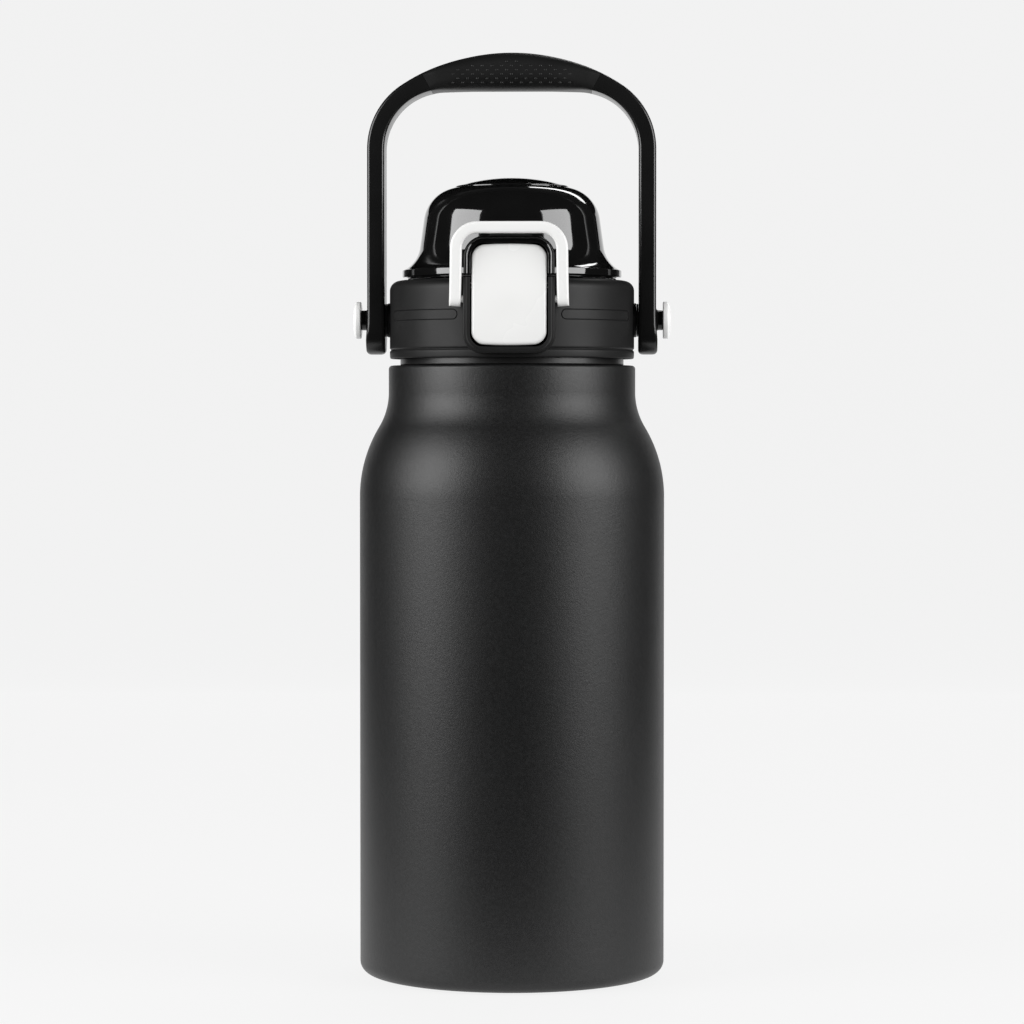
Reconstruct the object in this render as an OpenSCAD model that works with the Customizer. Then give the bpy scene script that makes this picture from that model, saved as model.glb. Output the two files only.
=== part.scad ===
// Large insulated water jug: a double-walled steel flask with a screw lid, a sprung flip cover over the
// spout, a rocking release button, a swinging lock ring and a bail handle. Millimetres, Z up, table at
// z = 0, and the release button faces -Y.

/* [Flask] */
// Outer diameter of the barrel
body_d = 104; // [90:1:130]
// Height of the neck's top edge above the table
neck_z = 208; // [170:1:270]
// Clear diameter of the mouth
mouth_d = 62; // [50:0.5:76]
// Height of the mouth tube above the neck
mouth_h = 17.5; // [16:0.5:24]
// Height of the straight neck
neck_h = 9; // [6:0.5:14]
// Radius of the shoulder's outward curve
shoulder_r = 46; // [32:1:56]
// Radius of the hollow curve from the shoulder into the neck
hollow_r = 23; // [16:1:30]
// Radius of the bottom corner
corner_r = 4; // [2:0.5:7]
// Wall of the outer shell and of the base plate
shell_t = 0.8; // [0.6:0.1:1.2]
// Wall of the inner flask
liner_t = 0.8; // [0.6:0.1:1.2]
// Vacuum gap between the two barrels
vacuum_gap = 3.5; // [2.5:0.5:6]
// Vacuum gap inside the mouth tube
mouth_gap = 0.8; // [0.5:0.1:1.5]

/* [Foot] */
// How far the foot pad stands below the shell
foot_t = 0.6; // [0.4:0.1:2]
// Width of the foot pad's ring
foot_w = 20; // [10:1:26]

/* [Thread] */
// Rise of the thread in one turn
thread_lead = 8; // [6:0.5:9]
// Angle that each of the two ridges runs through
thread_sweep = 300; // [180:10:320]
// Height of a thread ridge above its wall
ridge_h = 1.6; // [1.2:0.1:2]
// Width of a ridge at its root
ridge_w = 2; // [1.4:0.1:2.2]

/* [Lid] */
// Wall of the threaded core
core_wall = 2.6; // [2:0.1:4]
// Air gap between the core and the collar
core_gap = 1.4; // [1.2:0.1:3]
// Wall of the collar
collar_wall = 2.2; // [1.6:0.1:3.2]
// Height of the collar
collar_h = 26.5; // [24:0.5:34]
// Radius of the collar's top edge
collar_edge = 3.4; // [1:0.1:5]
// Dark gap between the neck and the collar
neck_seam = 2.3; // [1:0.1:4]
// Thickness of the core's deck
deck_t = 3; // [2:0.1:4]
// Height of the slots engraved beside the button
slot_h = 3.3; // [2.4:0.1:5]

/* [Flip cover] */
// Height of the closed cover above the collar
cover_h = 35.2; // [30:0.5:45]
// Wall of the cover
cover_wall = 2; // [1.4:0.1:2.6]
// Gap between the collar and the closed cover
cover_seam = 1.2; // [0.6:0.1:2]
// How far the cover's rim is set in from the collar's edge
cover_inset = 4.3; // [3:0.1:6]
// Radius of the cover's upper edge
bell_r = 12.4; // [8:0.1:15]
// Radius of the hollow curve above the rim
flare_r = 10.3; // [7:0.1:12]

/* [Spout] */
// Outer diameter of the drinking spout
spout_d = 22; // [16:0.5:28]
// Wall of the spout
spout_wall = 2; // [1.5:0.1:3]
// Height of the spout above the collar
spout_h = 15.2; // [10:0.1:20]

/* [Release button] */
// Width of the button
button_w = 24.8; // [18:0.1:32]
// Thickness of the button's plate
button_t = 2.6; // [2:0.1:3]
// How far the button stands above the collar
button_rise = 11.1; // [9:0.1:14]
// Gap around the button
button_gap = 0.5; // [0.3:0.1:0.8]
// Radius of the curve that the button's front follows from top to bottom
face_r = 90; // [70:1:140]
// Wall of the frame around the button
frame_wall = 2.3; // [2:0.1:3]

/* [Lock ring] */
// Width of the lock ring's bar
ring_w = 3.9; // [3:0.1:6]
// Depth of the lock ring's legs
ring_t = 4.4; // [3:0.1:4.8]

/* [Handle] */
// Height of the upright handle above the neck
handle_z = 106.3; // [100:0.1:130]
// Thickness of the handle's arms
arm_t = 5.9; // [4:0.1:9]
// Width of the handle's arms from front to back
arm_w = 16; // [12:0.5:20]
// Outer corner radius of the handle
handle_r = 26; // [18:0.5:34]
// Radius of the handle's arched top
arch_r = 68.4; // [60:0.2:110]
// Length of the soft grip
grip_l = 62; // [40:1:70]
// Thickness of the soft grip
grip_t = 1.8; // [1:0.1:2.4]
// Radius of the handle's pivot pins
pivot_r = 2.5; // [2:0.1:3]

/* [Hidden] */
$fn = 96;

// Fits
pin_fit = 0.05;       // running clearance of every pin in its bore, on the radius
side_gap = 0.2;       // side clearance of a part that swings beside another
rest_gap = 0.1;       // clearance of faces that only meet

// Flask
body_r = body_d / 2;
mouth_r = mouth_d / 2;
tube_in_r = mouth_r + liner_t + mouth_gap;
tube_r = tube_in_r + shell_t;
mouth_z = neck_z + mouth_h;
lip_z = mouth_z - liner_t;

// Lid radii, from the mouth outwards
thread_gap = 0.5;
core_in_r = tube_r + ridge_h + thread_gap;
core_r = core_in_r + core_wall;
collar_in_r = core_r + core_gap;
collar_r = collar_in_r + collar_wall;
neck_step = 0.4;
neck_r = collar_r + neck_step;

// Shoulder: an outward arc that runs into a hollow arc
shoulder_a = acos(1 - (body_r - neck_r) / (shoulder_r + hollow_r));
hollow_z = neck_z - neck_h;
shoulder_z = hollow_z - (shoulder_r + hollow_r) * sin(shoulder_a);
neck_edge = 1.2;

// Inner flask
liner_inset = shell_t + vacuum_gap;
liner_z = 6;
liner_corner = 6;
liner_top = neck_z - liner_inset;
liner_edge = 5;
neck_out = mouth_r + liner_t;

// Base
base_r = body_r - corner_r - 3;
plate_z = foot_t + shell_t;
plate_r = base_r + 2;
dimple_r = 12;
dimple_h = 1.2;
seal_r = 3;
getter_r = 9;
getter_t = 1.2;
pad_r = base_r - 0.4;
groove_w = 1.2;
groove_d = 0.5;

// Lid heights
core_z = neck_z + side_gap;
deck_z = mouth_z + 2.5;
collar_z0 = neck_z + neck_seam;
collar_z1 = collar_z0 + collar_h;
top_t = 2.4;
rim_z = collar_z1 - top_t;
well_r = core_in_r - 4.5;
core_rim_r = well_r + 2;
lip_h = 1.5;
lip_r = core_r + side_gap;
slot_clear = 4.9;     // degrees from the frame to a slot
slot_reach = 70;      // degrees from the front to a slot's far end

// Thread ridges
ridge_root = 0.3;
flask_ridge_z = neck_z + 5;
lid_ridge_z = flask_ridge_z - thread_lead / 4;
crest_gap = 0.55;

// Front face, shared by the button, its frame and the cover's hood
frame_out = 2.8;
face_y = face_r - collar_r - frame_out;
face_z = collar_z0 + 6.7;
button_x = button_w / 2;
pocket_x = button_x + button_gap;
frame_x = pocket_x + frame_wall;
frame_z0 = collar_z0 + side_gap;
pocket_z0 = collar_z0 + 3.5;
button_z0 = pocket_z0 + button_gap - rest_gap;
button_z1 = collar_z1 + button_rise;
button_corner = 4.2;
pocket_y = core_r + side_gap;
land_step = 0.7;
land_x = pocket_x + 1;

// Button's pin, hook and spring
button_pin_r = 1;
button_pin_y = -(core_r + 2.2);
button_pin_z = collar_z1 - 2.8;
button_boss_r = 1.95;
hook_x = 5;
hook_y = -(cover_rim_r() - 0.4);
hook_z = button_z1 - 3.9;
hook_h = 2;
catch_gap = 0.5;
catch_h = 2;
catch_z = hook_z - catch_gap;
button_spring_z = button_z0 + 5.3;
button_spring_r = 2.6;
button_wire_r = 0.3;
button_spring_turns = 3;

// Cover: crown, bell, side and flare
cover_z0 = collar_z1 + cover_seam;
crown_z = collar_z1 + cover_h;
flange_t = 1.4;
side_lean = 8;
crease_r = cover_rim_r() - 17.9;
crown_rise = 3.1;
crown_r = (pow(crease_r, 2) + pow(crown_rise, 2)) / (2 * crown_rise);
bell_x = crease_r - 1.8;
bell_z = crown_z - 15.7;
flare_z = cover_z0 + flange_t + flare_r;
flare_x = bell_x + bell_r * cos(side_lean) + flare_r * cos(side_lean)
    + (bell_z + bell_r * sin(side_lean) - flare_z + flare_r * sin(side_lean)) * tan(side_lean);
skirt_r = cover_rim_r() - 2.8;
skirt_drop = 0.7;
ceiling_z = crown_z - 6.8;
insert_z = ceiling_z + cover_wall;
hood_z1 = button_z1 + 3;
hood_in_z = button_z1 + 0.4;
hood_x = frame_x - side_gap;
hood_in_x = pocket_x;

// Spout, its stopper and the plate that holds it
spout_r = spout_d / 2;
spout_y = spout_r - (cover_rim_r() - 12.4);
spout_z1 = collar_z1 + spout_h;
spigot_r = spout_r - 1;
stopper_t = 3.5;
stopper_r = spout_r + 0.5;
nub_h = 1.5;
nub_r = spout_r - spout_wall - 2;
liner_plate_z = spout_z1 + stopper_t;
liner_plate_t = 2;
liner_plate_r = bell_x + bell_r - cover_wall - 0.4;
liner_post_r = 4;

// Cover hinge on the collar's back
hinge_y = collar_r + 3.5;
hinge_z = collar_z1 - 16.8;
hinge_pin_r = 1.2;
knuckle_r = 3.2;
knuckle_x0 = 5;
knuckle_x1 = 9;
bracket_x0 = knuckle_x1 + side_gap;
bracket_x1 = bracket_x0 + 3.8;
leaf_z = hinge_z + 8;
leaf_top = cover_z0 + 3;
spring_x = knuckle_x0 - 0.7;
spring_r = 2.3;
wire_r = 0.45;
spring_turns = 6;

// Lock ring
ring_x = frame_x + 2 * side_gap;
ring_z1 = hood_z1 + 0.3;
ring_y = -(collar_r - 0.1);
ring_pivot_z = collar_z1 - 7.3;
ring_end_r = 2.4;
ring_corner = 9;
stud_r = 1.2;
stud_x = pocket_x + 0.3;

// Handle
pivot_z = collar_z1 - 13.3;
lug_r = 5.8;
lug_x = collar_r + 0.7;
washer_t = 0.6;
arm_x0 = lug_x + washer_t + 2 * rest_gap;
arm_x1 = arm_x0 + arm_t;
arm_drop = 11.75;
handle_top = neck_z + handle_z;
arch_z = handle_top - arch_r;
corner_x = arm_x1 - handle_r;
corner_z = arch_z + sqrt(pow(arch_r - handle_r, 2) - pow(corner_x, 2));
corner_a = atan2(corner_z - arch_z, corner_x);
grip_x = grip_l / 2;
grip_w = arm_w + 1;
grip_edge = 6;
boss_r = 3.4;
boss_x = arm_x1 + 2.4;
cap_r = 6.3;
cap_t = 2.7;
head_r = 3.8;
head_t = 0.8;
head_x = sqrt(pow(collar_in_r, 2) - pow(head_r, 2)) - rest_gap;
pin_end_x = arm_x1 + 0.4;

function cover_rim_r() = collar_r - cover_inset;

// Points of an arc about c from angle a0 to a1
function arc(c, r, a0, a1, n = 12) =
    [for (i = [0:n]) let (a = a0 + (a1 - a0) * i / n) c + r * [cos(a), sin(a)]];

function flip(list) = [for (i = [len(list) - 1:-1:0]) list[i]];

// Half outline of the flask moved inward by d, from its bottom corner up to the neck's edge
function flask_line(d, z0, corner, z1, edge) = concat(
    arc([body_r - d - corner, z0 + corner], corner, -90, 0, 8),
    arc([body_r - shoulder_r, shoulder_z], shoulder_r - d, 0, shoulder_a),
    arc([neck_r + hollow_r, hollow_z], hollow_r + d, 180 + shoulder_a, 180),
    arc([neck_r - d - edge, z1 - edge], edge, 0, 90, 6));

// Box about x = 0 with rounded lower and upper corners
function rounded_box(w, z0, z1, low, high) = concat(
    arc([w - low, z0 + low], low, -90, 0, 8),
    arc([w - high, z1 - high], high, 0, 90, 8),
    arc([-w + high, z1 - high], high, 90, 180, 8),
    arc([-w + low, z0 + low], low, 180, 270, 8));

// Half outline of the cover moved inward by d, from the rim radius up to the ceiling height
function bell_line(d, rim, top) =
    let (low = acos((flare_x - rim) / (flare_r + d)), high = asin(min(1, (top - bell_z) / (bell_r - d))))
    concat(
        arc([flare_x, flare_z], flare_r + d, 180 + low, 180 + side_lean),
        arc([bell_x, bell_z], bell_r - d, side_lean, high));

// Outline of the handle's band in the XZ plane, thinned by d on both sides
function handle_outer(d) = concat(
    arc([corner_x, corner_z], handle_r - d, 0, corner_a, 14),
    arc([0, arch_z], arch_r - d, corner_a, 180 - corner_a, 24),
    arc([-corner_x, corner_z], handle_r - d, 180 - corner_a, 180, 14));
function handle_inner(d) = concat(
    arc([corner_x, corner_z], handle_r - arm_t + d, 0, 90, 16),
    arc([-corner_x, corner_z], handle_r - arm_t + d, 90, 180, 16));

// Extrudes an XZ outline from depth y0 back to depth y1
module from_front(y0, y1) {
    translate([0, y1, 0]) rotate([90, 0, 0]) linear_extrude(y1 - y0) children();
}

// Extrudes a YZ outline along X from x0 to x1
module along_x(x0, x1) {
    translate([x0, 0, 0]) rotate([90, 0, 90]) linear_extrude(x1 - x0) children();
}

// Cylinder along X about the point (y, z)
module rod(r, x0, x1, y, z) {
    translate([x0, y, z]) rotate([0, 90, 0]) cylinder(r = r, h = x1 - x0);
}

// Cylinder along X from x0 out to x1 on the side that s gives
module side_rod(r, s, x0, x1, y, z) {
    rod(r, s > 0 ? x0 : -x1, s > 0 ? x1 : -x0, y, z);
}

// Cylinder whose surface the button's front follows
module face_drum(r) {
    translate([-50, face_y, face_z]) rotate([0, 90, 0]) cylinder(r = r, h = 100, $fn = 240);
}

// Block with a rounded outline whose front lies on the face drum
module face_block(w, z0, z1, low, high, back) {
    intersection() {
        from_front(-collar_r - 10, back) polygon(rounded_box(w, z0, z1, low, high));
        face_drum(face_r);
    }
}

// Helical ridge with its root at ra and its crest at rb
module ridge(ra, rb, z0, a0) {
    steps = ceil(thread_sweep / 10);
    cut = [[ra, -ridge_w / 2], [rb, -ridge_w / 4], [rb, ridge_w / 4], [ra, ridge_w / 2]];
    section = ra < rb ? cut : flip(cut);
    points = [for (i = [0:steps], p = section)
        let (a = a0 + thread_sweep * i / steps, z = z0 + thread_lead * thread_sweep / 360 * i / steps)
        [p[0] * cos(a), p[0] * sin(a), z + p[1]]];
    sides = [for (i = [0:steps - 1], j = [0:3])
        let (k = (j + 1) % 4) [4 * i + j, 4 * i + k, 4 * i + 4 + k, 4 * i + 4 + j]];
    polyhedron(points, concat(sides, [[3, 2, 1, 0], [for (j = [0:3]) 4 * steps + j]]), convexity = 6);
}

// Round wire of radius r along a path whose turns lie about the unit vector up
module wire(path, r, up) {
    n = 8;
    last = len(path) - 1;
    rings = [for (i = [0:last])
        let (t = path[min(i + 1, last)] - path[max(i - 1, 0)], s = cross(t, up), u = s / norm(s),
            v = cross(u, t / norm(t)))
        for (j = [0:n - 1]) path[i] + r * (cos(360 * j / n) * u + sin(360 * j / n) * v)];
    sides = [for (i = [0:last - 1], j = [0:n - 1])
        let (k = (j + 1) % n) [n * i + j, n * i + k, n * i + n + k, n * i + n + j]];
    ends = [[for (j = [n - 1:-1:0]) j], [for (j = [0:n - 1]) n * last + j]];
    polyhedron(rings, concat(sides, ends), convexity = 8);
}

// ---- Flask ----

module outer_shell() {
    color("#2b2b2d") rotate_extrude($fn = 144) polygon(concat(
        [[base_r, foot_t]],
        flask_line(0, foot_t, corner_r, neck_z, neck_edge),
        [[tube_r, neck_z], [tube_r, neck_z - shell_t]],
        flip(flask_line(shell_t, foot_t + shell_t, corner_r - shell_t, neck_z - shell_t,
            neck_edge - shell_t)),
        [[base_r, plate_z]]));
}

// Threaded tube that stands on the neck
module mouth_tube() {
    color("#2b2b2d") union() {
        rotate_extrude($fn = 144) translate([tube_in_r, neck_z - shell_t])
            square([shell_t, lip_z - neck_z + shell_t]);
        for (a = [0, 180]) ridge(tube_r - ridge_root, tube_r + ridge_h, flask_ridge_z, a);
    }
}

module inner_flask() {
    color("#b9bcc0") rotate_extrude($fn = 144) polygon(concat(
        [[0, liner_z]],
        flask_line(liner_inset, liner_z, liner_corner, liner_top, liner_edge),
        [[neck_out, liner_top], [neck_out, liner_top - liner_t]],
        flip(flask_line(liner_inset + liner_t, liner_z + liner_t, liner_corner - liner_t,
            liner_top - liner_t, liner_edge - liner_t)),
        [[0, liner_z + liner_t]]));
}

// Inner wall of the mouth, with the lip rolled over the tube
module mouth_liner() {
    color("#b9bcc0") rotate_extrude($fn = 144) polygon([
        [mouth_r, liner_top - liner_t], [neck_out, liner_top - liner_t], [neck_out, lip_z],
        [tube_r, lip_z], [tube_r, mouth_z], [mouth_r, mouth_z]]);
}

module base_plate() {
    line = [[0, plate_z + dimple_h], [dimple_r, plate_z + dimple_h], [dimple_r + 2, plate_z],
        [plate_r, plate_z]];
    color("#a9acb0") rotate_extrude() polygon(concat(line, flip([for (p = line) p + [0, shell_t]])));
}

module vacuum_seal() {
    color("#8f8778") translate([0, 0, plate_z + dimple_h - shell_t]) cylinder(r = seal_r, h = shell_t);
}

module getter_disc() {
    color("#7d7f83") translate([0, 0, liner_z - getter_t]) cylinder(r = getter_r, h = getter_t);
}

module foot_pad() {
    color("#1a1a1b") difference() {
        cylinder(r = pad_r, h = plate_z);
        translate([0, 0, -1]) cylinder(r = pad_r - foot_w, h = plate_z + 2);
        for (k = [1:3]) translate([0, 0, -1]) difference() {
            cylinder(r = pad_r - k * foot_w / 4 + groove_w / 2, h = 1 + groove_d);
            translate([0, 0, -1]) cylinder(r = pad_r - k * foot_w / 4 - groove_w / 2, h = 3 + groove_d);
        }
    }
}

// ---- Lid ----

module mouth_gasket() {
    color("#c9c7c0") rotate_extrude()
        translate([mouth_r + 0.5, mouth_z])
            square([core_in_r - mouth_r - 1, deck_z - mouth_z - pin_fit]);
}

module thread_ring() {
    color("#161617") union() {
        rotate_extrude() translate([core_in_r, core_z]) square([core_wall, deck_z - core_z]);
        for (a = [0, 180]) ridge(core_in_r + ridge_root, tube_r + crest_gap, lid_ridge_z, a);
    }
}

// Deck with a raised rim that carries the collar
module lid_core() {
    color("#161617") difference() {
        rotate_extrude() polygon([[0, deck_z], [core_r, deck_z], [core_r, rim_z], [core_rim_r, rim_z],
            [core_rim_r, deck_z + deck_t], [0, deck_z + deck_t]]);
        translate([0, spout_y, deck_z - 1]) cylinder(r = spigot_r + pin_fit, h = deck_t + 2);
    }
}

module drinking_spout() {
    color("#1c1c1e") translate([0, spout_y, 0]) rotate_extrude() polygon(concat(
        [[spout_r - spout_wall, deck_z], [spigot_r, deck_z], [spigot_r, deck_z + deck_t],
            [spout_r, deck_z + deck_t]],
        arc([spout_r - spout_wall / 2, spout_z1 - spout_wall / 2], spout_wall / 2, 0, 90, 6),
        [[spout_r - spout_wall, spout_z1]]));
}

// Stadium outline engraved around the collar from angle a0 to a1, measured from the front
module engraved_slot(a0, a1) {
    line_w = 0.35;
    depth = 0.3;
    mid_z = collar_z0 + collar_h / 2 + 1.1;
    for (z = [mid_z - slot_h / 2, mid_z + slot_h / 2])
        rotate([0, 0, a0 - 90]) rotate_extrude(angle = a1 - a0)
            translate([collar_r - depth, z - line_w / 2]) square([2, line_w]);
    for (end = [[a0, -1], [a1, 1]]) rotate([0, 0, end[0]]) intersection() {
        from_front(-collar_r - 2, -collar_r + 2) translate([0, mid_z]) difference() {
            circle(r = (slot_h + line_w) / 2);
            circle(r = (slot_h - line_w) / 2);
            translate([end[1] > 0 ? -slot_h : 0, -slot_h]) square([slot_h, 2 * slot_h]);
        }
        difference() {
            cylinder(r = collar_r + 5, h = 2 * neck_z);
            translate([0, 0, -1]) cylinder(r = collar_r - depth, h = 2 * neck_z + 2);
        }
    }
}

module collar_shell() {
    groove = 0.5;
    groove_z = collar_z0 + 3;
    slot_a0 = asin(frame_x / collar_r) + slot_clear;
    rest_x = spring_x - wire_r;
    color("#232325") difference() {
        union() {
            rotate_extrude() polygon(concat(
                [[lip_r, collar_z0], [collar_r - groove, collar_z0], [collar_r, collar_z0 + groove],
                    [collar_r, groove_z - groove], [collar_r - groove, groove_z],
                    [collar_r, groove_z + groove]],
                arc([collar_r - collar_edge, collar_z1 - collar_edge], collar_edge, 0, 90, 10),
                [[well_r, collar_z1], [well_r, rim_z], [lip_r, rim_z]]));
            face_block(frame_x, frame_z0, collar_z1, 8, 0.01, -core_r);
            for (s = [-1, 1]) {
                side_rod(lug_r, s, collar_in_r, lug_x, 0, pivot_z);
                bracket_x = s > 0 ? bracket_x0 : -bracket_x1;
                along_x(bracket_x, bracket_x + bracket_x1 - bracket_x0) {
                    translate([hinge_y, hinge_z]) circle(r = knuckle_r);
                    translate([collar_in_r - 4, hinge_z - knuckle_r])
                        square([hinge_y - collar_in_r + 4, 2 * knuckle_r]);
                }
            }
            along_x(rest_x, rest_x + 2 * wire_r)
                translate([collar_in_r, hinge_z - 9])
                    square([hinge_y - spring_r - wire_r - collar_in_r, 5]);
        }
        translate([0, 0, collar_z0 + lip_h]) cylinder(r = collar_in_r, h = rim_z - collar_z0 - lip_h);
        translate([0, 0, collar_z0 - 1]) cylinder(r = lip_r, h = lip_h + 2);
        from_front(-collar_r - 10, -pocket_y)
            polygon(rounded_box(pocket_x, pocket_z0, collar_z1 + 5, 4, 0.01));
        difference() {
            from_front(-collar_r - 10, -pocket_y)
                polygon(rounded_box(land_x, pocket_z0 - 1, collar_z1 + 5, 5, 0.01));
            face_drum(face_r - land_step);
        }
        rod(button_pin_r + pin_fit, -frame_x - 1, frame_x + 1, button_pin_y, button_pin_z);
        rod(stud_r + pin_fit, stud_x - pin_fit, frame_x + 1, ring_y, ring_pivot_z);
        rod(stud_r + pin_fit, -frame_x - 1, -stud_x + pin_fit, ring_y, ring_pivot_z);
        rod(hinge_pin_r + pin_fit, -bracket_x1 - 1, bracket_x1 + 1, hinge_y, hinge_z);
        rod(pivot_r + pin_fit, -lug_x - 1, lug_x + 1, 0, pivot_z);
        engraved_slot(slot_a0, slot_reach);
        engraved_slot(-slot_reach, -slot_a0);
    }
}

module hinge_pin() {
    color("silver") rod(hinge_pin_r, -bracket_x1, bracket_x1, hinge_y, hinge_z);
}

// Torsion spring: one leg rests on the collar, the coil rides the pin, the other leg pushes the cover
module hinge_spring() {
    steps = 14 * spring_turns;
    turn = 360 * spring_turns;
    coil = [for (i = [0:steps]) let (a = 180 + turn * i / steps)
        [spring_x - 2 * spring_x * i / steps, hinge_y + spring_r * cos(a), hinge_z + spring_r * sin(a)]];
    front_y = hinge_y - spring_r;
    path = concat([[spring_x, front_y, hinge_z - 8], [spring_x, front_y, hinge_z - 4]], coil,
        [[-spring_x, front_y, hinge_z + 5], [-spring_x, front_y, hinge_z + 13]]);
    color("gainsboro") wire(path, wire_r, [1, 0, 0]);
}

module button_pin() {
    color("silver") rod(button_pin_r, -frame_x + side_gap, frame_x - side_gap, button_pin_y, button_pin_z);
}

// Compression spring between the button's lower end and the core
module button_spring() {
    y0 = -core_r - button_wire_r - pin_fit;
    plate_y = face_y - sqrt(pow(face_r - button_t, 2) - pow(button_spring_z - face_z, 2));
    y1 = plate_y + button_wire_r + 2 * rest_gap;
    steps = 14 * button_spring_turns;
    path = [for (i = [0:steps]) let (a = 360 * button_spring_turns * i / steps)
        [button_spring_r * cos(a), y0 + (y1 - y0) * i / steps, button_spring_z + button_spring_r * sin(a)]];
    color("gainsboro") wire(path, button_wire_r, [0, 1, 0]);
}

module pivot_pin(s) {
    color("silver") {
        side_rod(head_r, s, head_x - head_t, head_x, 0, pivot_z);
        side_rod(pivot_r, s, head_x - head_t, pin_end_x, 0, pivot_z);
    }
}
module pivot_pin_left() { pivot_pin(-1); }
module pivot_pin_right() { pivot_pin(1); }

module pivot_washer(s) {
    x0 = s > 0 ? lug_x + rest_gap : -lug_x - rest_gap - washer_t;
    color("dimgray") difference() {
        rod(lug_r - side_gap, x0, x0 + washer_t, 0, pivot_z);
        rod(pivot_r + rest_gap, x0 - 1, x0 + washer_t + 1, 0, pivot_z);
    }
}
module pivot_washer_left() { pivot_washer(-1); }
module pivot_washer_right() { pivot_washer(1); }

// ---- Flip cover ----

// The cover's outside, filled solid
module bell_solid() {
    rotate_extrude() polygon(concat(
        [[0, cover_z0], [cover_rim_r(), cover_z0]],
        bell_line(0, cover_rim_r(), bell_z + sqrt(pow(bell_r, 2) - pow(crease_r - bell_x, 2))),
        [[crease_r, insert_z], [0, insert_z]]));
}

// Frame of the cover that shelters the button's upper half
module cover_hood() {
    color("#0b0b0c") difference() {
        face_block(hood_x, cover_z0, hood_z1, 0.01, 5, 0);
        from_front(-collar_r - 10, 1)
            polygon(rounded_box(hood_in_x, cover_z0 - 1, hood_in_z, 0.01, button_corner + 0.3));
        bell_solid();
    }
}

module dome_cover() {
    arm_front = hinge_y - knuckle_r + side_gap;
    color("#0b0b0c") difference() {
        union() {
            bell_solid();
            translate([0, 0, cover_z0 - skirt_drop])
                cylinder(r = skirt_r + 1, h = skirt_drop + 1);
            from_front(-(cover_rim_r() - 0.9), -(skirt_r - 1.8))
                polygon(rounded_box(hook_x + 1, catch_z - catch_h, catch_z, 0.3, 0.3));
            along_x(-knuckle_x1, knuckle_x1) polygon(concat(
                [[skirt_r + 0.4, cover_z0], [arm_front, cover_z0], [arm_front, hinge_z]],
                arc([hinge_y, hinge_z], knuckle_r, 180, 360, 16),
                arc([hinge_y - 1.3, leaf_top - 4.5], 4.5, 0, 90, 8),
                [[skirt_r + 0.4, leaf_top]]));
        }
        translate([0, 0, cover_z0 - skirt_drop - 1]) cylinder(r = skirt_r, h = skirt_drop + 1.01);
        rotate_extrude() polygon(concat(
            [[0, cover_z0 - 0.01], [skirt_r, cover_z0 - 0.01]],
            bell_line(cover_wall, skirt_r, ceiling_z),
            [[0, ceiling_z]]));
        along_x(-knuckle_x0 + side_gap, knuckle_x0 - side_gap)
            translate([hinge_y - 10, hinge_z - 10]) square([20, leaf_z - hinge_z + 10]);
        along_x(-knuckle_x0 + side_gap, knuckle_x0 - side_gap)
            translate([hinge_y - 5, hinge_z])
                square([5 - spring_r + wire_r + rest_gap, cover_z0 - hinge_z]);
        rod(hinge_pin_r + pin_fit, -knuckle_x1 - 1, knuckle_x1 + 1, hinge_y, hinge_z);
    }
}

module crown_insert() {
    r = crease_r - rest_gap;
    centre = crown_z - crown_r;
    color("#101011") rotate_extrude() polygon(concat(
        [[0, insert_z], [r, insert_z]],
        arc([0, centre], crown_r, acos(r / crown_r), 90)));
}

module dome_liner() {
    color("#1d1d1f") {
        translate([0, 0, liner_plate_z]) cylinder(r = liner_plate_r, h = liner_plate_t);
        translate([0, 0, liner_plate_z]) cylinder(r = liner_post_r, h = ceiling_z - liner_plate_z);
    }
}

module spout_stopper() {
    color("#d9d6cf") translate([0, spout_y, 0]) {
        translate([0, 0, spout_z1]) cylinder(r = stopper_r, h = stopper_t);
        translate([0, 0, spout_z1 - nub_h]) cylinder(r1 = nub_r - 1.5, r2 = nub_r, h = nub_h);
    }
}

// ---- Button and lock ring ----

module release_button() {
    back_r = face_r - button_t;
    hook_base = face_y - sqrt(pow(face_r - 1, 2) - pow(hook_z - face_z, 2));
    color("white") difference() {
        union() {
            difference() {
                face_block(button_x, button_z0, button_z1, button_corner, button_corner, -pocket_y);
                face_drum(back_r);
            }
            rod(button_boss_r, -button_x, button_x, button_pin_y, button_pin_z);
            from_front(hook_base, hook_y)
                polygon(rounded_box(hook_x, hook_z, hook_z + hook_h, 0.3, 0.3));
        }
        rod(button_pin_r + pin_fit, -button_x - 1, button_x + 1, button_pin_y, button_pin_z);
    }
}

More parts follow.
